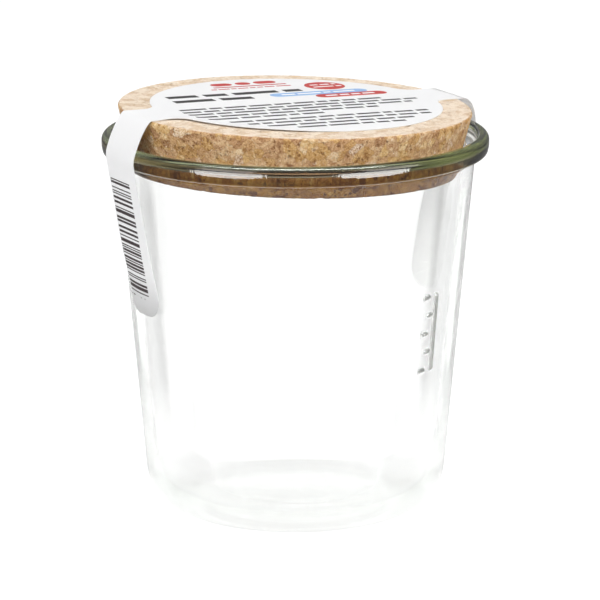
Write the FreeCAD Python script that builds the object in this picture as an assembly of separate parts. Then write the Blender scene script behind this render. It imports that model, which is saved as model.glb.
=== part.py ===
import FreeCAD, Part
import math
import os

# A preserving jar: a clear, tapered glass jar, a tapered cork lid pushed into its mouth,
# and a paper seal that lies on the cork and runs down both sides of the jar.
# Millimetres. The jar stands on z = 0 with its axis on Z, and the front of the jar faces -Y.

V = FreeCAD.Vector

# ---- glass jar ----
jar_height = 107.0          # from the ground to the rim's crest
throat_radius = 47.1        # the mouth at its narrowest
throat_depth = 3.2          # from the rim's crest down to the throat
wall_thickness = 3.3
wall_taper_deg = 5.06       # the wall draws in towards the base
rim_width = 6.9             # from the throat out to the rim's widest circle
rim_depth = 5.5             # from the crest down to the flange's underside
rim_side_depth = 3.4        # from the crest down to where the rim's side starts to draw in
rim_lower_inset = 0.5       # the flange's lower edge is this much narrower
crest_width = 3.0           # from the widest circle in to the crest's inner edge
crest_inner_slope = 0.3     # how much the crest's inner side leans inwards
ledge_depth = 1.8           # from the crest down to the outer edge of the seat ledge
rim_outer_round = 2.4       # rounding of the crest, outside
rim_inner_round = 0.7       # rounding of the crest, inside
rim_side_round = 6.0        # softening of the rim's side
rim_lower_round = 1.2       # rounding of the flange's lower edge
ledge_round = 0.8
throat_round = 1.0
neck_round = 2.0            # hollow fillet between the wall and the flange
heel_round = 11.7           # outside rounding between the wall and the base
base_ring_width = 2.2       # flat contact ring, inside the heel
base_ring_round = 1.0
push_up_height = 2.0        # the base is raised in its centre
push_up_edge_height = 1.1   # height of the raised base beside the contact ring
push_up_slope_width = 1.8   # from the contact ring in to the raised base
push_up_round = 1.5
floor_height = 5.6          # inside floor, at the wall
floor_crown = 1.0           # how much the inside floor rises to its centre
inner_heel_round = 8.5

# raised gauge on the jar's side: one upright line with short level marks beside it
gauge_angle_deg = -36.0
gauge_low_z = 45.0
gauge_high_z = 67.0
gauge_line_width = 1.3
gauge_mark_length = 4.6     # every second mark is shorter
gauge_short_mark_length = 2.8
gauge_mark_height = 1.1
gauge_mark_count = 5
gauge_relief = 0.5
gauge_root = 1.0            # how far the raised lines reach into the wall

# ---- cork lid ----
cork_height = 16.9
cork_depth = 6.4            # how far the cork reaches below the throat
cork_taper_deg = 13.96      # the cork's side leans out by this much
cork_edge_round = 0.8
cork_clearance = 0.2        # between the cork's side and the throat
cork_tilt_deg = 1.5         # the lid sits slightly askew, higher on its -X side

# ---- paper seal ----
paper = 0.2                 # thickness
seal_margin = 8.7           # from the cork's top edge in to the round part
seal_centre_x = 0.3         # the seal isn't stuck on quite centrally
seal_centre_y = 0.8
seal_tab_width = 16.5
seal_tab_angle_deg = 209.0  # direction of the front tab; the other one is opposite
seal_corner_round = 5.0     # hollow corner where a tab leaves the round part
seal_gap = 0.3              # between the paper and the glass
seal_arch_fullness = 1.3    # 1 is a straight slope from cork to rim, 2 a quarter ellipse
seal_arch_points = 9
seal_hang = 56.0            # from the cork's top edge down to the tab's end
seal_stuck_length = 5.0     # the tab's end that lies on the wall
seal_end_round = 5.5        # rounded corners of the tab's end

# ---- sizes that follow from these ----
throat_z = jar_height - throat_depth
taper = math.tan(math.radians(wall_taper_deg))
wall_across = wall_thickness / math.cos(math.radians(wall_taper_deg))
rim_radius = throat_radius + rim_width
tilt = math.radians(cork_tilt_deg)
cork_slope = math.tan(math.radians(cork_taper_deg))
seat_radius = throat_radius - cork_clearance
cork_bottom_radius = seat_radius - cork_depth * cork_slope
cork_top_radius = cork_bottom_radius + cork_height * cork_slope
seal_radius = cork_top_radius - seal_margin


def inner_radius(z):
    """Inside radius of the tapered wall at height z."""
    return throat_radius - (throat_z - z) * taper


def wall_radius(z):
    """Outside radius of the tapered wall at height z."""
    return inner_radius(z) + wall_across


def rounded_wire(corners):
    """Closed wire in the XZ plane from (x, z, radius) corners, each rounded by its radius."""
    edges = []
    ends = []
    count = len(corners)
    for i in range(count):
        x, z, radius = corners[i]
        corner = V(x, 0, z)
        before = V(corners[i - 1][0], 0, corners[i - 1][1]) - corner
        after = V(corners[(i + 1) % count][0], 0, corners[(i + 1) % count][1]) - corner
        if radius == 0:
            ends.append((corner, corner))
            continue
        half = before.getAngle(after) / 2
        before.normalize()
        after.normalize()
        inset = radius / math.tan(half)
        middle = (before + after).normalize() * (radius / math.sin(half) - radius)
        first = corner + before * inset
        last = corner + after * inset
        edges.append(Part.Arc(first, corner + middle, last).toShape())
        ends.append((first, last))
    for i in range(count):
        edges.append(Part.LineSegment(ends[i - 1][1], ends[i][0]).toShape())
    return Part.Wire(Part.__sortEdges__(edges))


def turned(corners, degrees=360):
    """Solid of revolution about the Z axis of the rounded outline."""
    face = Part.Face(rounded_wire(corners))
    return face.revolve(V(0, 0, 0), V(0, 0, 1), degrees)


# ---- glass jar ----
def jar_outline():
    flange_z = jar_height - rim_depth
    crest_inner = rim_radius - crest_width
    heel_centre = wall_radius(heel_round) - heel_round / math.cos(math.radians(wall_taper_deg))
    ring_inner = heel_centre - base_ring_width
    return [
        (0, push_up_height, 0),
        (ring_inner - push_up_slope_width, push_up_edge_height, push_up_round),
        (ring_inner, 0, base_ring_round),
        (wall_radius(0), 0, heel_round),
        (wall_radius(flange_z), flange_z, neck_round),
        (rim_radius - rim_lower_inset, flange_z, rim_lower_round),
        (rim_radius, jar_height - rim_side_depth, rim_side_round),
        (rim_radius, jar_height, rim_outer_round),
        (crest_inner, jar_height, rim_inner_round),
        (crest_inner - crest_inner_slope, jar_height - ledge_depth, ledge_round),
        (throat_radius, throat_z, throat_round),
        (inner_radius(floor_height), floor_height, inner_heel_round),
        (0, floor_height + floor_crown, 0),
    ]


def raised_block(low_z, high_z, start_deg, sweep_deg):
    """Piece of the wall's skin, thickened outwards, between two heights and two angles."""
    corners = [
        (wall_radius(low_z) - gauge_root, low_z, 0),
        (wall_radius(low_z) + gauge_relief, low_z, 0),
        (wall_radius(high_z) + gauge_relief, high_z, 0),
        (wall_radius(high_z) - gauge_root, high_z, 0),
    ]
    block = turned(corners, sweep_deg)
    block.rotate(V(0, 0, 0), V(0, 0, 1), start_deg)
    return block


def glass_jar():
    middle_radius = wall_radius((gauge_low_z + gauge_high_z) / 2)
    line_deg = math.degrees(gauge_line_width / middle_radius)
    blocks = [raised_block(gauge_low_z, gauge_high_z, gauge_angle_deg, line_deg)]
    step = (gauge_high_z - gauge_low_z - gauge_mark_height) / (gauge_mark_count - 1)
    for i in range(gauge_mark_count):
        low = gauge_low_z + i * step
        length = gauge_mark_length if i % 2 == 0 else gauge_short_mark_length
        mark_deg = math.degrees(length / middle_radius)
        blocks.append(raised_block(low, low + gauge_mark_height, gauge_angle_deg - mark_deg,
                                   mark_deg + line_deg / 2))
    return turned(jar_outline()).fuse(blocks).removeSplitter()


# ---- cork lid ----
# The lid's own frame has its origin where the cork meets the throat, and its Z along the cork.
# A tilted taper meets the level throat in a ring that is shifted sideways; the shift centres it.
cork_top = cork_height - cork_depth
lid_shift = -seat_radius * math.sin(tilt) * cork_slope
lid_place = FreeCAD.Placement(V(lid_shift, 0, throat_z), FreeCAD.Rotation(V(0, 1, 0), cork_tilt_deg))


def cork_lid():
    lid = turned([
        (0, -cork_depth, 0),
        (cork_bottom_radius, -cork_depth, cork_edge_round),
        (cork_top_radius, cork_top, cork_edge_round),
        (0, cork_top, 0),
    ])
    lid.Placement = lid_place
    return lid


# ---- paper seal ----
def seal_plate(angles_deg, reach):
    """Flat part of the seal: the round part with a tab stub out to reach in each direction."""
    centre = V(seal_centre_x, seal_centre_y, cork_top)
    half = seal_tab_width / 2
    # Centre of the hollow corner, along and across the tab.
    corner_v = half + seal_corner_round
    corner_u = math.sqrt((seal_radius + seal_corner_round) ** 2 - corner_v ** 2)
    on_circle = seal_radius / (seal_radius + seal_corner_round)
    edges = []
    circle_ends = []
    for angle in angles_deg:
        turn = FreeCAD.Rotation(V(0, 0, 1), angle)

        def at(u, v):
            return centre + turn.multVec(V(u, v, 0))

        for side in (-1, 1):
            touch = at(corner_u * on_circle, side * corner_v * on_circle)
            leave = at(corner_u, side * half)
            to_touch = V(-corner_u, -side * corner_v, 0).normalize()
            middle = (to_touch + V(0, -side, 0)).normalize() * seal_corner_round
            bulge = at(corner_u + middle.x, side * corner_v + middle.y)
            edges.append(Part.Arc(touch, bulge, leave).toShape())
            edges.append(Part.LineSegment(leave, at(reach, side * half)).toShape())
            circle_ends.append(touch)
        edges.append(Part.LineSegment(at(reach, -half), at(reach, half)).toShape())
    between = math.radians((angles_deg[0] + angles_deg[1]) / 2)
    across = V(math.cos(between), math.sin(between), 0) * seal_radius
    edges.append(Part.Arc(circle_ends[1], centre + across, circle_ends[2]).toShape())
    edges.append(Part.Arc(circle_ends[3], centre - across, circle_ends[0]).toShape())
    outline = Part.Wire(Part.__sortEdges__(edges))
    return Part.Face(outline).extrude(V(0, 0, paper))


def tab_path(angle_deg, reach):
    """Inner side of a tab as (distance from the seal's centre, height) in the lid's frame."""
    centre = V(seal_centre_x, seal_centre_y, 0)
    outward = V(math.cos(math.radians(angle_deg)), math.sin(math.radians(angle_deg)), 0)
    edge_z = lid_place.multVec(outward * cork_top_radius + V(0, 0, cork_top)).z
    end_z = edge_z - seal_hang
    landing_z = end_z + seal_stuck_length
    rim_z = jar_height - (rim_side_depth + rim_outer_round) / 2

    def in_lid(radius, z):
        point = lid_place.inverse().multVec(outward * (radius + seal_gap) + V(0, 0, z))
        return (point - centre).dot(outward), point.z

    rim_u, rim_n = in_lid(rim_radius, rim_z)
    power = 2 / seal_arch_fullness
    path = [(reach, cork_top)]
    for i in range(1, seal_arch_points):
        t = math.pi / 2 * i / seal_arch_points
        path.append((reach + (rim_u - reach) * math.sin(t) ** power,
                     rim_n + (cork_top - rim_n) * math.cos(t) ** power))
    path.append((rim_u, rim_n))
    path.append(in_lid(wall_radius(landing_z), landing_z))
    path.append(in_lid(wall_radius(end_z), end_z))
    return path


def seal_tab(angle_deg, reach):
    """Tab from the end of its flat stub, over the rim and down to the wall."""
    centre = V(seal_centre_x, seal_centre_y, 0)
    turn = FreeCAD.Rotation(V(0, 0, 1), angle_deg)
    half = seal_tab_width / 2
    inner = tab_path(angle_deg, reach)
    outer = [(reach, cork_top + paper)]
    for i in range(1, len(inner)):
        before = inner[i - 1]
        after = inner[min(i + 1, len(inner) - 1)]
        run = math.hypot(after[0] - before[0], after[1] - before[1])
        outer.append((inner[i][0] - (after[1] - before[1]) / run * paper,
                      inner[i][1] + (after[0] - before[0]) / run * paper))

    edges = []
    ends = []
    for path in (inner, outer):
        placed = [centre + turn.multVec(V(u, -half, n)) for u, n in path]
        arch = Part.BSplineCurve()
        arch.interpolate(placed[:-2])
        edges.append(arch.toShape())
        edges.append(Part.LineSegment(placed[-3], placed[-2]).toShape())
        edges.append(Part.LineSegment(placed[-2], placed[-1]).toShape())
        ends.append((placed[0], placed[-1]))
    edges.append(Part.LineSegment(ends[0][0], ends[1][0]).toShape())
    edges.append(Part.LineSegment(ends[0][1], ends[1][1]).toShape())
    outline = Part.Wire(Part.__sortEdges__(edges))
    strip = Part.Face(outline).extrude(turn.multVec(V(0, seal_tab_width, 0)))

    # The end's corners are rounded by keeping what lies in a round-cornered window.
    low = inner[-1][1] + paper
    high = cork_top + cork_height
    window = Part.Face(rounded_wire([
        (-half, low, seal_end_round),
        (half, low, seal_end_round),
        (half, high, 0),
        (-half, high, 0),
    ])).extrude(V(0, rim_radius * 2, 0))
    window.Placement = FreeCAD.Placement(centre, FreeCAD.Rotation(V(0, 0, 1), angle_deg - 90))
    return strip.common(window)


def paper_seal():
    reach = cork_top_radius
    angles = [seal_tab_angle_deg - 180, seal_tab_angle_deg]
    seal = seal_plate(angles, reach)
    for angle in angles:
        seal = seal.fuse(seal_tab(angle, reach))
    seal = seal.removeSplitter()
    seal.Placement = lid_place
    return seal


def save(shape, node):
    solid = shape.Solids[0]
    assert len(shape.Solids) == 1 and solid.isValid(), node
    solid.exportStep(os.path.join("parts", node + ".step"))
    print(node, "volume", round(solid.Volume, 1), "box", solid.BoundBox)


os.makedirs("parts", exist_ok=True)
save(glass_jar(), "glass_jar")
save(cork_lid(), "cork_lid")
save(paper_seal(), "paper_seal")
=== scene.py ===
import math
import random

import bpy
from mathutils import Matrix, Vector, geometry, noise


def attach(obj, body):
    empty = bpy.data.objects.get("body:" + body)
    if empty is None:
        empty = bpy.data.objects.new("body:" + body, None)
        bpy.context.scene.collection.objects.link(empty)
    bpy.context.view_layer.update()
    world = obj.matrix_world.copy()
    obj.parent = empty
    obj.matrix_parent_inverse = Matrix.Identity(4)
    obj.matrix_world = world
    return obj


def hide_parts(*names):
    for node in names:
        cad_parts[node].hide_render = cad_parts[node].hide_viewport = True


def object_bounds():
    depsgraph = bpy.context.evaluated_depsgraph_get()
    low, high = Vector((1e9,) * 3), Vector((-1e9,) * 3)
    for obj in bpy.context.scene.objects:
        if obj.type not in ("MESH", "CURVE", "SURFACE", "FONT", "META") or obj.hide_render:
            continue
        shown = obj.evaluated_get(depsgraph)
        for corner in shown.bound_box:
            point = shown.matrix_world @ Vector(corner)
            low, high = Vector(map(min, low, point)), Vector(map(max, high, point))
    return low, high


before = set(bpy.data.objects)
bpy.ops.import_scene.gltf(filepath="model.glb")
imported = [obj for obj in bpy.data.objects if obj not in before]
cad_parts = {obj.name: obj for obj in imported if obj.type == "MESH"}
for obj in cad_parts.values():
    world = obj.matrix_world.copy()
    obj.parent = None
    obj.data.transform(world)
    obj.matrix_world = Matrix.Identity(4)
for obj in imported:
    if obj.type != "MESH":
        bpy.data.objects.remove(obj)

# A preserving jar: clear tapered glass, a pressed-cork lid and a paper seal over both.
# Shapes are worked out in millimetres and turned into metres when a mesh is made.
mm = 0.001
cadBox = [list(corner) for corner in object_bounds()]
scene = bpy.context.scene


class Value:  # one output socket; arithmetic on it adds Math nodes
    def __init__(self, tree, socket):
        self.tree = tree
        self.socket = socket

    def calc(self, operation, *others):
        return self.tree.node("ShaderNodeMath", {"operation": operation}, dict(enumerate((self,) + others)))

    def __add__(self, other):
        return self.calc("ADD", other)

    def __sub__(self, other):
        return self.calc("SUBTRACT", other)

    def __mul__(self, other):
        return self.calc("MULTIPLY", other)

    def __truediv__(self, other):
        return self.calc("DIVIDE", other)

    def __pow__(self, other):
        return self.calc("POWER", other)

    def __gt__(self, other):
        return self.calc("GREATER_THAN", other)

    def __lt__(self, other):
        return self.calc("LESS_THAN", other)

    def __rsub__(self, other):
        return self.tree.node("ShaderNodeMath", {"operation": "SUBTRACT"}, {0: other, 1: self})

    __radd__ = __add__
    __rmul__ = __mul__

    def step(self, low, high):  # smooth 0 to 1 between low and high
        return self.tree.node("ShaderNodeMapRange", {"interpolation_type": "SMOOTHSTEP"},
                              {0: self, 1: low, 2: high})


class Tree:  # the nodes of one material or world
    def __init__(self, holder):
        holder.use_nodes = True
        self.nodes = holder.node_tree.nodes
        self.links = holder.node_tree.links
        self.nodes.clear()

    def node(self, kind, settings=None, sockets=None, out=0):
        made = self.nodes.new(kind)
        for name, value in (settings or {}).items():
            if name == "stops":
                self.setStops(made.color_ramp, value)
            else:
                setattr(made, name, value)
        for key, value in (sockets or {}).items():
            if isinstance(value, Value):
                self.links.new(value.socket, made.inputs[key])
            else:
                made.inputs[key].default_value = value
        return Value(self, made.outputs[out]) if made.outputs else None

    def setStops(self, ramp, stops):
        while len(ramp.elements) < len(stops):
            ramp.elements.new(1.0)
        for element, (place, colour) in zip(ramp.elements, stops):
            element.position = place
            element.color = (*colour, 1)

    def mix(self, factor, first, second, blend="MIX"):
        colours = [c if isinstance(c, Value) else (*c, 1) for c in (first, second)]
        return self.node("ShaderNodeMix", {"data_type": "RGBA", "blend_type": blend},
                         {0: factor, 6: colours[0], 7: colours[1]}, out=2)

    def ramp(self, value, stops):
        return self.node("ShaderNodeValToRGB", {"stops": stops}, {0: value})

    def split(self, where):
        return [self.node("ShaderNodeSeparateXYZ", {}, {0: where}, out=axis) for axis in "XYZ"]

    def fromAxis(self, x, y):
        across = self.node("ShaderNodeCombineXYZ", {}, {0: x, 1: y})
        return self.node("ShaderNodeVectorMath", {"operation": "LENGTH"}, {0: across}, out="Value")

    def place(self):  # position on the object, in millimetres
        where = self.node("ShaderNodeTexCoord", out="Object")
        return self.node("ShaderNodeVectorMath", {"operation": "SCALE"}, {0: where, "Scale": 1 / mm})

    def noise(self, where, size, detail=2.0, rough=0.5, out="Fac"):  # size in millimetres
        return self.node("ShaderNodeTexNoise", {},
                         {"Vector": where, "Scale": 1 / size, "Detail": detail, "Roughness": rough}, out=out)

    def cells(self, where, size, feature="F1", out="Distance"):
        return self.node("ShaderNodeTexVoronoi", {"feature": feature},
                         {"Vector": where, "Scale": 1 / size}, out=out)

    def warp(self, where, size, strength):  # shifts a position by coloured noise
        shift = self.node("ShaderNodeVectorMath", {"operation": "SUBTRACT"},
                          {0: self.noise(where, size, out="Color"), 1: (0.5, 0.5, 0.5)})
        return self.node("ShaderNodeVectorMath", {"operation": "MULTIPLY_ADD"},
                         {0: shift, 1: (strength,) * 3, 2: where})

    def ray(self, kind):  # 1 where the ray being traced is of that kind, or its count
        return self.node("ShaderNodeLightPath", out=kind)

    def bump(self, height, depth, strength=1.0):  # depth in millimetres
        return self.node("ShaderNodeBump", {},
                         {"Height": height, "Distance": depth * mm, "Strength": strength}, out="Normal")

    def finish(self, shader, volume=None):
        sockets = {"Surface": shader}
        if volume:
            sockets["Volume"] = volume
        self.node("ShaderNodeOutputMaterial", {}, sockets)


def newMaterial(name):
    material = bpy.data.materials.new(name)
    return material, Tree(material)


def newPiece(name, points, faces, material, node=None, sharpDeg=40):
    mesh = bpy.data.meshes.new(name)
    mesh.from_pydata([tuple(c * mm for c in p) for p in points], [], faces)
    mesh.validate()
    mesh.materials.append(material)
    mesh.shade_smooth()
    mesh.set_sharp_from_angle(angle=math.radians(sharpDeg))
    piece = bpy.data.objects.new(name, mesh)
    scene.collection.objects.link(piece)
    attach(piece, "root")
    if node:
        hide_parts(node)
    return piece


def roundedLine(corners, stepDeg=9.0):
    # open outline through (radius, height, rounding) corners, with arcs in place of the corners
    line = []
    for i, (x, z, rounding) in enumerate(corners):
        here = Vector((x, z))
        if rounding == 0:
            line.append(here)
            continue
        before = (Vector(corners[i - 1][:2]) - here).normalized()
        after = (Vector(corners[i + 1][:2]) - here).normalized()
        half = before.angle(after) / 2
        centre = here + (before + after).normalized() * (rounding / math.sin(half))
        first = here + before * (rounding / math.tan(half)) - centre
        last = here + after * (rounding / math.tan(half)) - centre
        sweep = first.angle_signed(last)
        count = max(3, math.ceil(abs(math.degrees(sweep)) / stepDeg))
        for k in range(count + 1):
            turned = first.copy()
            turned.rotate(Matrix.Rotation(-sweep * k / count, 2))
            line.append(centre + turned)
    return line


def spaced(line, pitch):  # adds points so that none is further apart than pitch(a, b)
    dense = [line[0]]
    for a, b in zip(line, line[1:]):
        count = max(1, math.ceil((b - a).length / pitch(a, b)))
        dense += [a.lerp(b, k / count) for k in range(1, count + 1)]
    return dense


def lathe(line, angles, shape):
    # closed body from an outline that starts and ends on the axis; shape(r, z, angle, i) gives a point
    points = [shape(line[0].x, line[0].y, 0.0, 0), shape(line[-1].x, line[-1].y, 0.0, len(line) - 1)]
    faces = []
    turns = len(angles)
    rings = len(line) - 2
    for i in range(1, len(line) - 1):
        points += [shape(line[i].x, line[i].y, angle, i) for angle in angles]
    for k in range(turns):
        n = (k + 1) % turns
        faces.append((0, 2 + n, 2 + k))
        top = 2 + (rings - 1) * turns
        faces.append((1, top + k, top + n))
        for i in range(rings - 1):
            a = 2 + i * turns
            faces.append((a + k, a + n, a + turns + n, a + turns + k))
    return points, faces


def smooth(value, low, high):
    t = min(1.0, max(0.0, (value - low) / (high - low)))
    return t * t * (3 - 2 * t)


def fade(first, second, share):  # from first to second; takes numbers and Values alike
    return first + (second - first) * share


view = {
    "distance": 1.0,     # from the jar's axis, in metres
    "height": 0.295,
    "pitchDeg": 13.3,    # looking down
    "yawDeg": -0.074,
    "lens": 218.8,
}
studio = {
    "roomLight": 0.50,                 # even light from all round
    "roomBehind": 0.25,                # what glass mirrors at its outline
    "roomDark": (0.10, 0.105, 0.10),   # what glass shows of the room above the backdrop
    "backdropTopDeg": 16.0,
    "backdropFadeDeg": 14.0,
    "floorSize": 8.0,
    "floorGlow": 0.80,                 # share of the floor's white that shadows don't touch
    "floorShade": 0.35,                # the share that they can take away
    "floorMirrored": (0.25, 0.25, 0.25),
    "lampAim": (0, 0, 0.06),
    "lamps": {  # place, size, watts
        "top": ((0.05, -0.10, 1.10), (1.0, 0.35), 5.0),
        "left": ((-0.85, -0.95, 0.65), (0.8, 0.7), 7.6),
        "right": ((1.05, -0.60, 0.62), (0.8, 0.7), 7.6),
    },
    "cards": {  # place, aim, size, watts; seen only as reflections
        "cardLeft": ((-0.175, -0.232, 0.060), (0, 0, 0.060), (0.22, 0.085), 0.50),
        "cardRight": ((0.198, -0.213, 0.060), (0, 0, 0.060), (0.22, 0.085), 0.55),
        "cardTop": ((0.0, -0.06, 0.80), (0, -0.06, 0), (1.0, 0.15), 6.5),
    },
}


def makeCamera():
    data = bpy.data.cameras.new("camera")
    data.lens = view["lens"]
    data.sensor_width = 36.0
    data.clip_start = 0.05
    data.clip_end = 50.0
    camera = bpy.data.objects.new("camera", data)
    camera.location = (0, -view["distance"], view["height"])
    camera.rotation_euler = (math.radians(90 - view["pitchDeg"]), 0, math.radians(view["yawDeg"]))
    scene.collection.objects.link(camera)
    scene.camera = camera


def addLamp(name, place, size, watts, aim):
    data = bpy.data.lights.new(name, "AREA")
    data.shape = "RECTANGLE"
    data.size, data.size_y = size
    data.energy = watts
    lamp = bpy.data.objects.new(name, data)
    lamp.location = place
    lamp.rotation_mode = "QUATERNION"
    lamp.rotation_quaternion = (Vector(aim) - Vector(place)).to_track_quat("-Z", "Y")
    lamp.visible_camera = False
    scene.collection.objects.link(lamp)
    return lamp


def makeLights():
    for name, (place, size, watts) in studio["lamps"].items():
        addLamp(name, place, size, watts, studio["lampAim"])
    for name, (place, aim, size, watts) in studio["cards"].items():
        card = addLamp(name, place, size, watts, aim)
        card.data.shape = "ELLIPSE"
        card.visible_diffuse = False
        card.visible_transmission = False


def seenDirectly(tree):  # 1 for what the camera sees, straight or in and through glass
    inGlass = tree.ray("Is Glossy Ray") * (tree.ray("Transparent Depth") > 0.5)
    straight = tree.ray("Is Camera Ray").calc("MAXIMUM", tree.ray("Is Transmission Ray"))
    return straight.calc("MAXIMUM", inGlass) * (tree.ray("Diffuse Depth") < 0.5)


def makeWorld():
    world = bpy.data.worlds.new("studio")
    scene.world = world
    tree = Tree(world)
    direction = tree.node("ShaderNodeTexCoord", out="Generated")
    upDeg = tree.split(direction)[2].calc("ARCSINE") * (180 / math.pi)
    above = upDeg.step(studio["backdropTopDeg"], studio["backdropTopDeg"] + studio["backdropFadeDeg"])
    room = tree.mix(above, (1, 1, 1), studio["roomDark"])
    behind = tree.split(direction)[1].step(-0.2, 0.4) * tree.ray("Is Glossy Ray")
    mirrored = tree.mix(behind, (studio["roomLight"],) * 3, (studio["roomBehind"],) * 3)
    lit = tree.mix(seenDirectly(tree), mirrored, room)
    shown = tree.mix(tree.ray("Is Camera Ray"), lit, (1, 1, 1))
    background = tree.node("ShaderNodeBackground", {}, {"Color": shown, "Strength": 1.0})
    tree.node("ShaderNodeOutputWorld", {}, {"Surface": background})


def makeFloor():
    material, tree = newMaterial("floorWhite")
    grain = tree.noise(tree.place(), 90.0)
    pale = tree.mix(grain, (0.80,) * 3, (0.82,) * 3)
    plain = tree.node("ShaderNodeBsdfPrincipled", {}, {
        "Base Color": tree.mix(tree.ray("Is Glossy Ray"), pale, studio["floorMirrored"]),
        "Roughness": 0.9,
        "Specular IOR Level": 0.0,
    })
    dim = tree.node("ShaderNodeBsdfDiffuse", {}, {"Color": (studio["floorShade"],) * 3 + (1,)})
    light = tree.node("ShaderNodeEmission", {}, {"Color": (1, 1, 1, 1), "Strength": studio["floorGlow"]})
    seen = tree.node("ShaderNodeAddShader", {}, {0: dim, 1: light})
    tree.finish(tree.node("ShaderNodeMixShader", {}, {0: seenDirectly(tree), 1: plain, 2: seen}))
    half = studio["floorSize"] / 2
    mesh = bpy.data.meshes.new("floor")
    mesh.from_pydata([(x * half, y * half, -0.0002) for x, y in ((-1, -1), (1, -1), (1, 1), (-1, 1))],
                     [], [(0, 1, 2, 3)])
    mesh.materials.append(material)
    floor = bpy.data.objects.new("floor", mesh)
    scene.collection.objects.link(floor)


jar = {
    "height": 107.0,
    "throatRadius": 47.1,
    "throatDepth": 3.2,
    "wall": 3.3,
    "taperDeg": 5.06,
    "rimWidth": 6.9,
    "rimDepth": 5.5,
    "heelRound": 11.7,
    "floorHeight": 5.6,
    "gaugeDeg": -36.0,  # raised gauge: an upright line with short marks to its left
    "gaugeLow": 45.0,
    "gaugeHigh": 67.0,
    "gaugeLine": 1.3,
    "gaugeMarks": 5,
    "gaugeLong": 4.6,
    "gaugeShort": 2.8,
    "gaugeMarkLength": 2.4,
    "gaugeMarkHeight": 1.1,
    "gaugeRelief": 0.9,
    "insideWave": 0.16,
    "tint": (0.64, 0.72, 0.64),
    "tintDensity": 8.0,
    "gaugeShade": (0.22, 0.22, 0.20),      # painted shade: the raised gauge is painted darker than the wall

    # the thick rim, by depth below its crest: the glass's own green with painted shade, and the cork painted
    # in as it would show through
    "rimCrest": (0.12, 0.15, 0.062),
    "crestFade": (0.5, 1.1),
    "rimMiddle": (0.095, 0.033, 0.008),
    "middleFade": (2.0, 2.5),
    "rimLow": (0.27, 0.20, 0.115),        # the cork's colour painted in, as it would show through here
    "endCrestShade": (0.038, 0.046, 0.006),    # the rim's left and right ends, painted darker as shade
    "endFade": (2.0, 3.6),
    "endLowShade": (0.20, 0.16, 0.070),
    "endsAside": (13, 37),                # how far to the side the ends start
    "leftEndShare": 0.55,

    # how far each part of the clear glass shows up at all
    "footShow": 0.25,
    "heelShow": 0.17,
    "heelFade": (8, 28),
    "wallShow": 0.95,
    "wallFade": (82, 99),
    "outlineShow": 0.56,
    "outlineFade": (0.90, 0.95),          # as shares of the radius
}
taper = math.tan(math.radians(jar["taperDeg"]))
throatZ = jar["height"] - jar["throatDepth"]
flangeZ = jar["height"] - jar["rimDepth"]
wallAcross = jar["wall"] / math.cos(math.radians(jar["taperDeg"]))
rimRadius = jar["throatRadius"] + jar["rimWidth"]


def innerRadius(z):
    return jar["throatRadius"] - (throatZ - z) * taper


def wallRadius(z):
    return innerRadius(z) + wallAcross


def glassMaterial():
    material, tree = newMaterial("clearGlass")
    where = tree.place()
    x, y, z = tree.split(where)
    r = tree.fromAxis(x, y)
    down = jar["height"] - z
    wallTop = wallRadius(flangeZ)
    rim = z.step(flangeZ - 0.7, flangeZ + 0.7) * r.step(wallTop + 0.4, wallTop + 1.2)
    # painted shade on the rim: bands by depth below the crest, the cork painted into the lowest band, and
    # darker left and right ends
    front = tree.mix(down.step(*jar["middleFade"]), jar["rimMiddle"], jar["rimLow"])
    front = tree.mix(down.step(*jar["crestFade"]), jar["rimCrest"], front)
    ends = tree.mix(down.step(*jar["endFade"]), jar["endCrestShade"], jar["endLowShade"])
    left, right = ((x * side).step(*jar["endsAside"]) for side in (-1, 1))
    rimPaintedShade = tree.mix(right + left * jar["leftEndShare"], front, ends)

    # painted shade: the raised gauge is tinted darker than the wall
    proud = r - z * taper - wallRadius(0)  # of the plain wall
    low, high = jar["gaugeLow"], jar["gaugeHigh"]
    gauge = proud.step(0.15, 0.45) * z.step(low - 5, low + 1) * (1 - z.step(high - 1, high + 5))
    colour = tree.mix(gauge, tree.mix(rim, (1, 1, 1), rimPaintedShade), jar["gaugeShade"])

    foot = (1 - z.step(1, 3)) * r.step(28, 32)
    outline = (x.calc("ABSOLUTE") / r).step(*jar["outlineFade"]) * z.step(6, 14)
    show = fade(jar["heelShow"], jar["footShow"], foot)
    show = fade(show, jar["wallShow"], z.step(*jar["heelFade"]))
    show = fade(show, jar["outlineShow"], outline)
    show = fade(show, 1.0, z.step(*jar["wallFade"]))

    upright = tree.node("ShaderNodeVectorMath", {"operation": "MULTIPLY"}, {0: where, 1: (1, 1, 0.3)})
    ripple = tree.noise(where, 26.0, detail=1.0) * 0.15 + rim * tree.noise(upright, 0.9, detail=2.0) * 0.04
    smear = tree.noise(tree.warp(where, 20.0, 12.0), 9.0, detail=3.0)
    glass = tree.node("ShaderNodeBsdfPrincipled", {}, {
        "Base Color": colour,
        "Roughness": smear.step(0.55, 0.8) * 0.02 + rim * 0.015,
        "IOR": 1.5,
        "Transmission Weight": 1.0,
        "Alpha": show,
        "Normal": tree.bump(ripple, 1.0),
    })
    clear = tree.node("ShaderNodeBsdfTransparent")
    surface = tree.node("ShaderNodeMixShader", {}, {0: tree.ray("Is Shadow Ray"), 1: glass, 2: clear})
    volume = tree.node("ShaderNodeVolumeAbsorption", {},
                       {"Color": (*jar["tint"], 1), "Density": jar["tintDensity"]})
    tree.finish(surface, volume)
    return material


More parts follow.
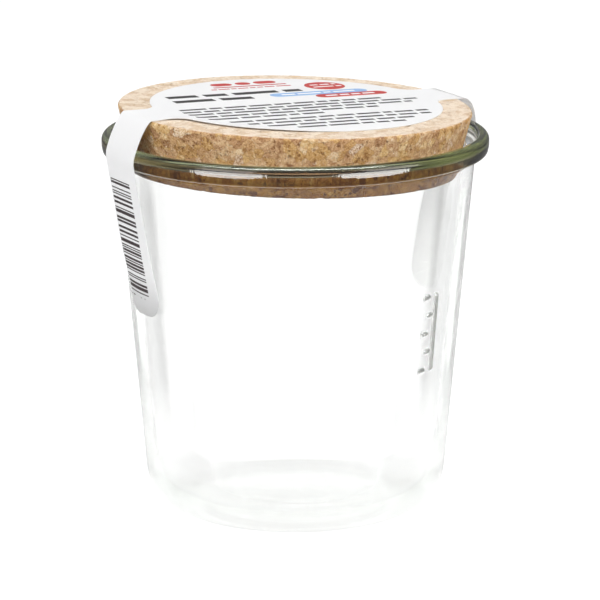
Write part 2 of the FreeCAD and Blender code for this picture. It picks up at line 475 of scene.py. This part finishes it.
def gaugeRelief(angle, z):  # height of the raised gauge above the wall
    across = (angle - math.radians(jar["gaugeDeg"])) * wallRadius(z)
    bars = [(0.0, jar["gaugeLine"], jar["gaugeLow"], jar["gaugeHigh"])]
    step = (jar["gaugeHigh"] - jar["gaugeLow"] - jar["gaugeMarkHeight"]) / (jar["gaugeMarks"] - 1)
    for i in range(jar["gaugeMarks"]):
        low = jar["gaugeLow"] + i * step
        reach = jar["gaugeShort"] if i % 2 else jar["gaugeLong"]
        bars.append((-reach, jar["gaugeMarkLength"] - reach, low, low + jar["gaugeMarkHeight"]))
    best = 0.0
    for left, right, low, high in bars:
        inside = min(across - left, right - across, z - low, high - z)
        best = max(best, smooth(inside, -0.25, 0.6))
    return best * jar["gaugeRelief"]


def makeJar():
    height = jar["height"]
    heel = jar["heelRound"]
    heelCentre = wallRadius(heel) - heel / math.cos(math.radians(jar["taperDeg"]))
    ringInner = heelCentre - 2.2
    corners = [  # radius, height, rounding
        (0, 2.0, 0),  # raised underside
        (ringInner - 1.8, 1.1, 1.5),
        (ringInner, 0, 1.0),  # ring that it stands on
        (wallRadius(0), 0, heel),
        (wallRadius(flangeZ), flangeZ, 2.0),
        (rimRadius - 0.5, flangeZ, 1.2),
        (rimRadius, height - 3.4, 6.0),
        (rimRadius, height, 1.8),
        (rimRadius - 3.0, height, 0.7),
        (rimRadius - 3.3, height - 1.8, 0.8),  # seat inside the rim
        (jar["throatRadius"], throatZ, 1.0),
        (innerRadius(jar["floorHeight"]), jar["floorHeight"], 8.5),
        (0, jar["floorHeight"] + 1.0, 0),
    ]
    # close rows only where the gauge stands
    wallLow = Vector((wallRadius(jar["gaugeLow"] - 2), jar["gaugeLow"] - 2))
    wallHigh = Vector((wallRadius(jar["gaugeHigh"] + 2), jar["gaugeHigh"] + 2))
    line = roundedLine(corners, 7.5)
    for i in range(len(line) - 1):
        if line[i].y < wallLow.y and line[i + 1].y > wallHigh.y:
            line[i + 1:i + 1] = [wallLow, wallHigh]
            break
    line = spaced(line, lambda a, b: 0.35 if a == wallLow else 3.0)
    crest = max(range(len(line)), key=lambda i: line[i].y)

    coarse = [math.radians(a * 1.5) for a in range(240)]
    gauge = math.radians(jar["gaugeDeg"] % 360)
    fine = [gauge + math.radians(a * 0.4) for a in range(-18, 9)]
    angles = sorted([a for a in coarse if not fine[0] < a < fine[-1]] + fine)

    def shape(r, z, angle, i):
        if r > 1.0:
            if i > crest:  # the inside of pressed glass is slightly uneven
                wave = noise.noise(Vector((math.cos(angle) * 1.6, math.sin(angle) * 1.6, z / 38)))
                r += jar["insideWave"] * wave * smooth(throatZ - z, 1, 12)
            elif wallLow.y <= z <= wallHigh.y:
                r += gaugeRelief((angle if angle < math.pi else angle - 2 * math.pi), z)
        return r * math.cos(angle), r * math.sin(angle), z

    points, faces = lathe(line, angles, shape)
    newPiece("jarGlass", points, faces, glassMaterial(), "glass_jar")


cork = {
    "height": 16.9,
    "depth": 6.4,
    "taperDeg": 13.96,
    "edge": 0.8,
    "clearance": 0.2,
    "tiltDeg": 1.5,
    "grain": 2.7,            # size of the larger granules
    "fineGrain": 1.2,
    "streak": 0.65,
    "fleck": 1.4,
    "speck": 0.45,
    "hollowGap": 1.3,
    "pitDepth": 0.55,
    "smoothTop": 38.0,       # radius of the top that has no pits, under the seal
    "golden": [(0.20, (0.27, 0.125, 0.040)), (0.42, (0.53, 0.30, 0.110)),
               (0.60, (0.64, 0.41, 0.170)), (0.85, (0.80, 0.62, 0.36))],
    "rosy": [(0.20, (0.27, 0.13, 0.058)), (0.42, (0.50, 0.285, 0.138)),
             (0.60, (0.62, 0.40, 0.21)), (0.85, (0.80, 0.64, 0.42))],
    # the top is paler than the side: partly a sanded face, partly painted sheen
    "topPale": (0.81, 0.69, 0.56),
    "topTan": (0.60, 0.41, 0.24),
    "chip": (0.86, 0.74, 0.58),
    "hollow": (0.19, 0.078, 0.028),
    # painted shade on the cork below the rim
    "sunkTone": 0.34,
}
corkSlope = math.tan(math.radians(cork["taperDeg"]))
seatRadius = jar["throatRadius"] - cork["clearance"]
corkTop = cork["height"] - cork["depth"]
corkBottomRadius = seatRadius - cork["depth"] * corkSlope
corkTopRadius = corkBottomRadius + cork["height"] * corkSlope
tilt = math.radians(cork["tiltDeg"])
lidPlace = (Matrix.Translation((-seatRadius * math.sin(tilt) * corkSlope, 0, throatZ))
            @ Matrix.Rotation(tilt, 4, "Y"))
lidUp = lidPlace.to_3x3() @ Vector((0, 0, 1))


def corkMaterial():
    material, tree = newMaterial("pressedCork")
    where = tree.place()
    x, y, z = tree.split(where)
    bent = tree.warp(tree.warp(where, 3.0, 1.6), 0.7, 0.6)
    light, hue, odd = tree.split(tree.cells(bent, cork["grain"], out="Color"))
    seam = 1 - tree.cells(bent, cork["grain"], "DISTANCE_TO_EDGE").step(0.0, 0.07)
    fine = tree.split(tree.cells(bent, cork["fineGrain"], out="Color"))[0]
    streak = tree.noise(tree.warp(where, 4.0, 4.0), cork["streak"], detail=5.0, rough=0.75)
    depth = light * 0.30 + fine * 0.26 + streak * 1.25 - 0.40
    golden = tree.ramp(depth, cork["golden"])
    rosy = tree.ramp(depth, cork["rosy"])
    side = tree.mix(hue.step(0.25, 0.7), golden, rosy)
    fleck = tree.noise(tree.warp(where, 4.0, 4.0), cork["fleck"], detail=6.0, rough=0.8)
    # the top is paler than the side: partly a sanded face, partly painted sheen
    top = tree.mix((fleck * 0.8 + light * 0.2).step(0.43, 0.62) * 0.72, cork["topPale"], cork["topTan"])
    facing = tree.node("ShaderNodeVectorMath", {"operation": "DOT_PRODUCT"},
                       {0: tree.node("ShaderNodeNewGeometry", out="Normal"), 1: tuple(lidUp)}, out="Value")
    onTop = facing.step(0.6, 0.95)
    body = tree.mix(onTop, side, top)

    # small dark hollows in clusters, pale chips, fine specks
    crumb = tree.warp(where, 0.6, 1.5)
    spot = tree.cells(crumb, cork["hollowGap"])
    pick = tree.split(tree.cells(crumb, cork["hollowGap"], out="Color"))[0]
    cluster = tree.noise(where, 7.0, detail=1.0)
    hollow = (1 - spot.step(0.15, 0.40)) * (pick + cluster * 0.9).step(1.04, 1.20)
    speck = tree.noise(where, cork["speck"], detail=2.0, rough=0.8)
    dark = (hollow * 0.75).calc("MAXIMUM", speck.step(0.57, 0.69) * 0.75)
    # painted shade below the rim: extra dark spots and heavier marks go with the darker tone there
    sunk = (jar["height"] - z).step(1.5, jar["rimDepth"])
    dark = dark.calc("MAXIMUM", sunk * tree.noise(where, 3.2, detail=3.0).step(0.56, 0.64) * 0.8)
    dark = dark.calc("MAXIMUM", seam * streak.step(0.40, 0.60) * 0.5) * (1 - onTop * 0.6)
    dark = (dark * (1 + sunk)).calc("MINIMUM", 1.0)
    chip = (1 - spot.step(0.25, 0.5)) * (1 - pick.step(0.03, 0.06)) * 0.8
    chip = chip.calc("MAXIMUM", odd.step(0.94, 0.96) * streak.step(0.4, 0.6) * 0.7)
    pale = chip.calc("MAXIMUM", (1 - speck.step(0.28, 0.38)) * 0.5) * (1 - onTop * 0.7)
    spotted = tree.mix(dark, tree.mix(pale, body, cork["chip"]), cork["hollow"])

    dim = 1 - sunk * (1 - cork["sunkTone"])  # below the rim it sits in shade
    shade = tree.node("ShaderNodeCombineColor", {}, {0: dim, 1: dim ** 1.25, 2: dim ** 2.1})
    shaded = tree.mix(1.0, spotted, shade, "MULTIPLY")
    relief = streak * 0.5 + fine * 0.2 - hollow * 0.9 - speck * 0.2
    surface = tree.node("ShaderNodeBsdfPrincipled", {}, {
        "Base Color": shaded,
        "Roughness": 0.95 - streak * 0.25,
        "Specular IOR Level": 0.15,
        "Normal": tree.bump(relief, 0.45, 0.8),
    })
    tree.finish(surface)
    return material


def pitDepth(p, edge):
    # depth of the hollows where granules have broken out; edge runs 0 to 1 near an edge
    near, spots = noise.voronoi(p / cork["grain"])
    pick = noise.cell(spots[0] * 37.0)
    drop = cork["pitDepth"] * smooth(pick, 0.93 - 0.16 * edge, 0.97) * smooth(0.62 - near[0], 0.0, 0.3)
    small, tiny = noise.voronoi(p / cork["fineGrain"] + Vector((7, 3, 5)))
    broken = smooth(noise.cell(tiny[0] * 53.0), 0.86 - 0.45 * edge, 0.95)
    chip = 0.32 * broken * smooth(0.6 - small[0], 0, 0.3)
    return drop + chip + 0.12 * abs(noise.noise(p * 0.9))


def makeCork():
    corners = [
        (0, -cork["depth"], 0),
        (corkBottomRadius, -cork["depth"], cork["edge"]),
        (corkTopRadius, corkTop, cork["edge"]),
        (0, corkTop, 0),
    ]
    line = spaced(roundedLine(corners, 22.0), lambda a, b: 0.55 if a.x > 30 else 3.0)
    angles = [2 * math.pi * k / 520 for k in range(520)]
    middle = (corkTop - cork["depth"]) / 2

    def shape(r, z, angle, i):
        out = Vector((math.cos(angle), math.sin(angle), 0))
        p = out * r + Vector((0, 0, z))
        onEnd = abs(z - middle) > cork["height"] / 2 - 0.05
        inward = Vector((0, 0, -1 if z > middle else 1)) if onEnd else -out
        sideRadius = corkBottomRadius + (z + cork["depth"]) * corkSlope
        edge = (1 - smooth(corkTop - z, 0.3, 1.8)) * smooth(r, sideRadius - 1.6, sideRadius - 0.4)
        if not (onEnd and z > middle and r < cork["smoothTop"]):
            p += inward * pitDepth(p, edge)
        return tuple(lidPlace @ p)

    points, faces = lathe(line, angles, shape)
    newPiece("corkLid", points, faces, corkMaterial(), "cork_lid", sharpDeg=60)


seal = {
    "paper": 0.2,
    "margin": 8.7,
    "centre": (0.3, 0.8),
    "tabWidth": 16.5,
    "tabDeg": 209.0,         # the front tab; the other one is opposite
    "cornerRound": 5.0,
    "gap": 0.3,
    "archFullness": 1.3,
    "backFullness": 2.2,
    "archPoints": 40,
    "hang": 56.0,
    "stuck": 5.0,
    "endRound": 5.5,
    "lift": 0.4,             # how far the seal's front edge has come up
    "liftStops": ((232, 262), (43, 48.5)),  # by degrees round the seal, and by length to a tab
    "ripple": 0.06,
    "white": (0.89, 0.89, 0.895),
    "backLitWhite": (0.97, 0.97, 0.97),
    "endShadeGrey": (0.46, 0.46, 0.46),
    "endShare": 0.85,
    "endFade": (56, 74),     # heights between which the front tab's end is painted grey, as shade
    "seeThrough": 0.10,
    "tabSeeThrough": 0.65,   # the back tab, which has the light behind it
    "backFade": (90, 100),   # heights between which the back tab is painted whiter, as light
    "archFade": (94, 102),
    "archShare": 0.6,
}
sealRadius = corkTopRadius - seal["margin"]
halfTab = seal["tabWidth"] / 2


class TabPath:  # side view of one tab: where the paper is at a length past the cork's edge
    def __init__(self, angleDeg, fullness):
        angle = math.radians(angleDeg)
        outward = Vector((math.cos(angle), math.sin(angle), 0))
        centre = Vector((*seal["centre"], 0))
        edgeZ = (lidPlace @ (outward * corkTopRadius + Vector((0, 0, corkTop)))).z
        endZ = edgeZ - seal["hang"] + seal["paper"]
        landingZ = endZ + seal["stuck"]
        back = lidPlace.inverted()

        def inLid(radius, z):
            p = back @ (outward * (radius + seal["gap"]) + Vector((0, 0, z))) - centre
            return Vector((p.dot(outward), p.z))

        rim = inLid(rimRadius, jar["height"] - 2.9)
        power = 2 / fullness
        line = [Vector((corkTopRadius, corkTop))]
        for i in range(1, seal["archPoints"] + 1):
            t = math.pi / 2 * i / seal["archPoints"]
            line.append(Vector((corkTopRadius + (rim.x - corkTopRadius) * math.sin(t) ** power,
                                rim.y + (corkTop - rim.y) * math.cos(t) ** power)))
        line += [inLid(wallRadius(landingZ), landingZ), inLid(wallRadius(endZ), endZ)]
        self.line = spaced(line, lambda a, b: 0.8)
        for _ in range(6):  # softens the bends
            self.line[1:-1] = [(a + b * 2 + c) / 4 for a, b, c
                               in zip(self.line, self.line[1:], self.line[2:])]
        self.runs = [0.0]
        for a, b in zip(self.line, self.line[1:]):
            self.runs.append(self.runs[-1] + (b - a).length)
        self.length = self.runs[-1]

    def at(self, run, height):
        run = min(max(run, 0.0), self.length)
        i = next(k for k in range(1, len(self.runs)) if self.runs[k] >= run - 1e-9)
        a, b = self.line[i - 1], self.line[i]
        share = (run - self.runs[i - 1]) / (self.runs[i] - self.runs[i - 1])

        def normal(k):
            along = self.line[min(k + 1, len(self.line) - 1)] - self.line[max(k - 1, 0)]
            return Vector((-along.y, along.x)).normalized()

        return a.lerp(b, share) + normal(i - 1).lerp(normal(i), share).normalized() * height


frontTab = TabPath(seal["tabDeg"], seal["archFullness"])
backTab = TabPath(seal["tabDeg"] - 180, seal["backFullness"])
sealTurn = Matrix.Rotation(math.radians(seal["tabDeg"] - 180), 4, "Z")
sealPlace = lidPlace @ Matrix.Translation((*seal["centre"], 0)) @ sealTurn


def onSeal(u, v, height=0.0):
    # u runs along the tabs, towards the back tab, v across them; height is above the paper's underside
    path = backTab if u > 0 else frontTab
    sign = 1 if u > 0 else -1
    if abs(u) <= corkTopRadius:
        r = math.hypot(u, v)
        turn = math.degrees(math.atan2(v, u)) % 360
        lift = seal["lift"] * smooth(r, sealRadius - 7, sealRadius) * smooth(-v, 1, 8)
        turnStop, tabStop = seal["liftStops"]
        lift *= (1 - smooth(turn, *turnStop)) * (1 - smooth(abs(u), *tabStop))
        ripple = seal["ripple"] * (noise.noise(Vector((u / 14, v / 14, 3.0))) + 0.4)
        flat = sealPlace @ Vector((u, v, corkTop + height))
        room = cadBox[1][2] / mm - 0.01 - flat.z - (seal["paper"] - height)
        flat.z += max(0.0, min(lift + ripple * smooth(sealRadius + 4 - r, 0, 8), room))
        return flat
    run = abs(u) - corkTopRadius
    cupped = (v * v / (2 * wallRadius(60))) * smooth(run, path.length - 22, path.length - 4)
    across = path.at(run, height - cupped)
    return sealPlace @ Vector((sign * across.x, v, across.y))


def tabRows(path):  # places along a tab, close together where it bends
    rows = []
    u = sealRadius + seal["cornerRound"] / 2 + 2.0
    while u < corkTopRadius + path.length - seal["endRound"] - 0.3:
        rows.append(u)
        bend = abs(u - corkTopRadius - 1.5) < 3.5
        u += 0.4 if bend else 1.3
    return rows


def sealOutline():
    # the seal laid flat: a disc with two straight tabs, their corners rounded
    corner = seal["cornerRound"]
    cornerV = halfTab + corner
    cornerU = math.sqrt((sealRadius + corner) ** 2 - cornerV ** 2)
    touch = math.atan2(cornerV, cornerU)
    outline = []

    def arc(cu, cv, radius, start, end, count):
        for k in range(count + 1):
            a = start + (end - start) * k / count
            outline.append(Vector((cu + radius * math.cos(a), cv + radius * math.sin(a))))

    for sign, path in ((1, backTab), (-1, frontTab)):
        base = 0 if sign > 0 else math.pi
        end = corkTopRadius + path.length
        rows = tabRows(path)
        arc(sign * cornerU, -sign * cornerV, corner, base + math.pi - touch, base + math.pi / 2, 6)
        outline += [Vector((sign * u, -sign * halfTab)) for u in rows]
        inset = seal["endRound"]
        arc(sign * (end - inset), -sign * (halfTab - inset), inset, base - math.pi / 2, base, 8)
        arc(sign * (end - inset), sign * (halfTab - inset), inset, base, base + math.pi / 2, 8)
        outline += [Vector((sign * u, sign * halfTab)) for u in reversed(rows)]
        arc(sign * cornerU, sign * cornerV, corner, base + math.pi * 1.5, base + math.pi + touch, 6)
        arc(0, 0, sealRadius, base + touch, base + math.pi - touch, 90)
    kept = []
    for p in outline:
        if not kept or (p - kept[-1]).length > 0.02:
            kept.append(p)
    return kept[:-1] if (kept[0] - kept[-1]).length < 0.02 else kept


def paperMaterial():
    material, tree = newMaterial("labelPaper")
    where = tree.place()
    x, y, z = tree.split(where)
    fibre = tree.noise(tree.warp(where, 1.0, 0.6), 0.35, detail=3.0)
    cloud = tree.noise(where, 9.0, detail=1.0)
    tone = tree.mix(fibre * 0.25, seal["white"], tuple(c * 0.93 for c in seal["white"]))
    # painted shade: the front tab's lower end is greyed
    endShade = (1 - z.step(*seal["endFade"])) * seal["endShare"] * (x < 0)
    # painted light: the back tab's lower part is painted whiter
    back = (x > 0) * (1 - z.step(*seal["backFade"]))
    colour = tree.mix(back, tree.mix(endShade, tone, seal["endShadeGrey"]), seal["backLitWhite"])
    surface = tree.node("ShaderNodeBsdfPrincipled", {}, {
        "Base Color": colour,
        "Roughness": 0.5 + fibre * 0.15,
        "Specular IOR Level": 0.35,
        "Normal": tree.bump(fibre * 0.05 + cloud, 0.45, 0.6),
    })
    thin = tree.node("ShaderNodeBsdfTranslucent", {}, {"Color": (*seal["white"], 1)})
    clearOfCork = tree.fromAxis(x, y).step(corkTopRadius - 0.5, corkTopRadius + 1)
    arch = fade(1 - seal["archShare"], 1.0, z.step(*seal["archFade"]))
    through = fade(seal["seeThrough"], seal["tabSeeThrough"], clearOfCork * (x > 0) * arch)
    tree.finish(tree.node("ShaderNodeMixShader", {}, {0: through, 1: surface, 2: thin}))
    return material


def makeSeal():
    outline = sealOutline()
    count = len(outline)
    flat = list(outline)
    reach = int(sealRadius / 2) + 1
    for i in range(-reach, reach + 1):
        for k in range(-reach, reach + 1):
            p = Vector((i * 2.0, k * 2.0))
            if p.length < sealRadius - 1.3:
                flat.append(p)
    for sign, path in ((1, backTab), (-1, frontTab)):
        for u in tabRows(path):
            flat += [Vector((sign * u, halfTab * v)) for v in (-0.75, -0.5, -0.25, 0, 0.25, 0.5, 0.75)]
    placed, _, triangles, *_ = geometry.delaunay_2d_cdt(flat, [], [list(range(count))], 1, 0.001)
    upper = [onSeal(p.x, p.y, seal["paper"]) for p in placed]
    lower = [onSeal(p.x, p.y, 0.0) for p in placed]
    total = len(placed)
    faces = [tuple(t) for t in triangles] + [tuple(total + i for i in reversed(t)) for t in triangles]
    edges = {}  # kept in order
    for t in triangles:
        for a, b in zip(t, t[1:] + t[:1]):
            edges[(a, b)] = True
    for a, b in edges:
        if (b, a) not in edges:
            faces.append((b, a, total + a, total + b))
    newPiece("paperSeal", upper + lower, faces, paperMaterial(), "paper_seal", sharpDeg=50)


# The print is plain fields of colour and rows of strips; nothing in it reads as a word.
ink = {
    "seed": 7,
    "barModule": 0.34,       # narrowest bar on the front tab
    "barRun": (38.5, 4.5),   # where the bars start and stop, from the tab's end
    "turnDeg": -2.0,         # the print is turned a little against the tabs
    "thick": 0.03,
    "black": (0.022, 0.02, 0.02),
    "grey": (0.05, 0.045, 0.045),
    "red": (0.50, 0.035, 0.028),
    "blue": (0.27, 0.44, 0.72),
    "white": (0.90, 0.90, 0.90),
    "bars": (0.035, 0.022, 0.022),

    # where things stand: left end, right end and middle, from the seal's centre
    "headingSize": 4.2,
    "heading": ((-30.5, 11.5, 19.8), (-31.3, -6.0, 13.2)),
    "markBlocks": ((-10.0, -3.5, 34.2), (-2.2, 2.4, 34.2), (3.6, 10.5, 34.2)),
    "markLine": (-11.0, 12.0, 30.2),
    "markRow": (-13.0, 12.5, 27.4),
    # round badge and two lozenges: ink, place, height, then size and places of the pale rows
    "badges": (
        ("red", (15.2, 27.0, 23.6), 11.8, 1.5, ((17.4, 25.4, 25.6), (17.0, 25.8, 22.4))),
        ("blue", (-1.0, 29.5, 14.0), 4.9, 1.7, ((2.5, 26.5, 14.0),)),
        ("red", (11.0, 33.2, 9.0), 4.9, 1.7, ((14.0, 30.5, 9.0),)),
    ),
    "smallSize": 2.1,
    "smallPrint": (
        (-35.3, 29.8, 1.2), (-36.0, 36.8, -2.5), (-36.0, 33.3, -6.2), (-35.6, 20.4, -10.1),
        (-33.8, 1.4, -14.0), (-30.0, 31.0, -19.4), (-26.5, 29.8, -23.5), (-22.5, 23.5, -27.6),
        (-15.5, 18.8, -31.6),
    ),
}


def inkMaterial(name, colour):
    material, tree = newMaterial(name)
    where = tree.place()
    mottle = tree.noise(where, 0.5, detail=2.0)
    lighter = tuple(c + (1 - c) * 0.05 for c in colour)
    surface = tree.node("ShaderNodeBsdfPrincipled", {}, {
        "Base Color": tree.mix(mottle.step(0.35, 0.75), colour, lighter),
        "Roughness": 0.45 + mottle * 0.2,
        "Specular IOR Level": 0.35,
    })
    tree.finish(surface)
    return material


def strip(points, faces, stations, lift=0.0):
    # closed slab along stations ((u, v), (u, v)), its two sides at each station
    top = seal["paper"] + ink["thick"] + lift
    bottom = seal["paper"] - 0.02
    first = len(points)
    for one, two in stations:
        points += [onSeal(*one, top), onSeal(*two, top), onSeal(*two, bottom), onSeal(*one, bottom)]
    for k in range(len(stations) - 1):
        a = first + 4 * k
        for c in range(4):
            d = (c + 1) % 4
            faces.append((a + c, a + d, a + 4 + d, a + 4 + c))
    last = first + 4 * (len(stations) - 1)
    faces.append((first + 3, first + 2, first + 1, first))
    faces.append((last, last + 1, last + 2, last + 3))


def printed(along, across):  # turns a place in the print into a place on the seal
    a = math.radians(ink["turnDeg"])
    return along * math.cos(a) - across * math.sin(a), along * math.sin(a) + across * math.cos(a)


def bar(points, faces, left, right, middle, height, lift=0.0):
    # bar with square ends, in the print's own directions
    count = max(1, math.ceil((right - left) / 2.0))
    stations = []
    for k in range(count + 1):
        x = left + (right - left) * k / count
        stations.append((printed(x, middle + height / 2), printed(x, middle - height / 2)))
    strip(points, faces, stations, lift)


def pill(points, faces, left, right, middle, height, lift=0.0):
    # bar with round ends; a disc when it is as long as it is high
    radius = height / 2
    ends = [radius * (1 - math.cos(math.radians(a))) for a in (6, 20, 35, 50, 65, 80, 90)]
    places = [left + e for e in ends]
    flat = right - left - height
    count = math.ceil(flat / 2.0)
    places += [left + radius + flat * k / count for k in range(1, count)] if count > 1 else []
    places += [right - e for e in reversed(ends)]
    stations = []
    for x in places:
        inward = radius - min(x - left, right - x, radius)
        half = math.sqrt(max(radius ** 2 - inward ** 2, 0.0))
        stations.append((printed(x, middle + half), printed(x, middle - half)))
    strip(points, faces, stations, lift)


def stripRow(points, faces, left, right, middle, size, rng, lift=0.0):
    # plain strips of uneven length, all of one height, in place of a line of small print
    x = left
    while x < right - size * 0.8:
        end = min(x + size * rng.uniform(1.2, 4.4), right)
        bar(points, faces, x, end, middle, size * 0.76, lift)
        x = end + size * 0.5


def makePrint():
    rng = random.Random(ink["seed"])
    layers = {name: ([], []) for name in ("black", "grey", "red", "blue", "white", "bars")}

    for row in ink["heading"]:
        stripRow(*layers["black"], *row, ink["headingSize"], rng)
    for block in ink["markBlocks"]:
        pill(*layers["red"], *block, 3.8)
    bar(*layers["red"], *ink["markLine"], 1.0)
    stripRow(*layers["red"], *ink["markRow"], 1.2, rng)
    for name, place, height, size, rows in ink["badges"]:
        pill(*layers[name], *place, height)
        for row in rows:
            stripRow(*layers["white"], *row, size, rng, lift=0.02)
    for row in ink["smallPrint"]:
        stripRow(*layers["grey"], *row, ink["smallSize"], rng)

    # bars across the front tab
    module = ink["barModule"]
    u = corkTopRadius + frontTab.length - ink["barRun"][0]
    for _ in range(34):
        width = module * rng.choice((1, 1, 1, 2, 2, 3))
        stations = []
        for k in range(6):
            v = -7.6 + 11.4 * k / 5
            stations.append(((-u, -v), (-u - width, -v)))
        strip(*layers["bars"], stations)
        u += width + module * rng.choice((1, 1, 2, 2, 3))
        if u > corkTopRadius + frontTab.length - ink["barRun"][1]:
            break

    for name, (points, faces) in layers.items():
        title = name.capitalize()
        newPiece("print" + title, points, faces, inkMaterial("ink" + title, ink[name]),
                 sharpDeg=30)


scene.view_settings.view_transform = "Standard"
makeCamera()
makeWorld()
makeLights()
makeFloor()
print("camera, light and floor are made")
makeJar()
print("glass jar is made")
makeCork()
print("cork lid is made")
makeSeal()
makePrint()
print("paper seal and its print are made")
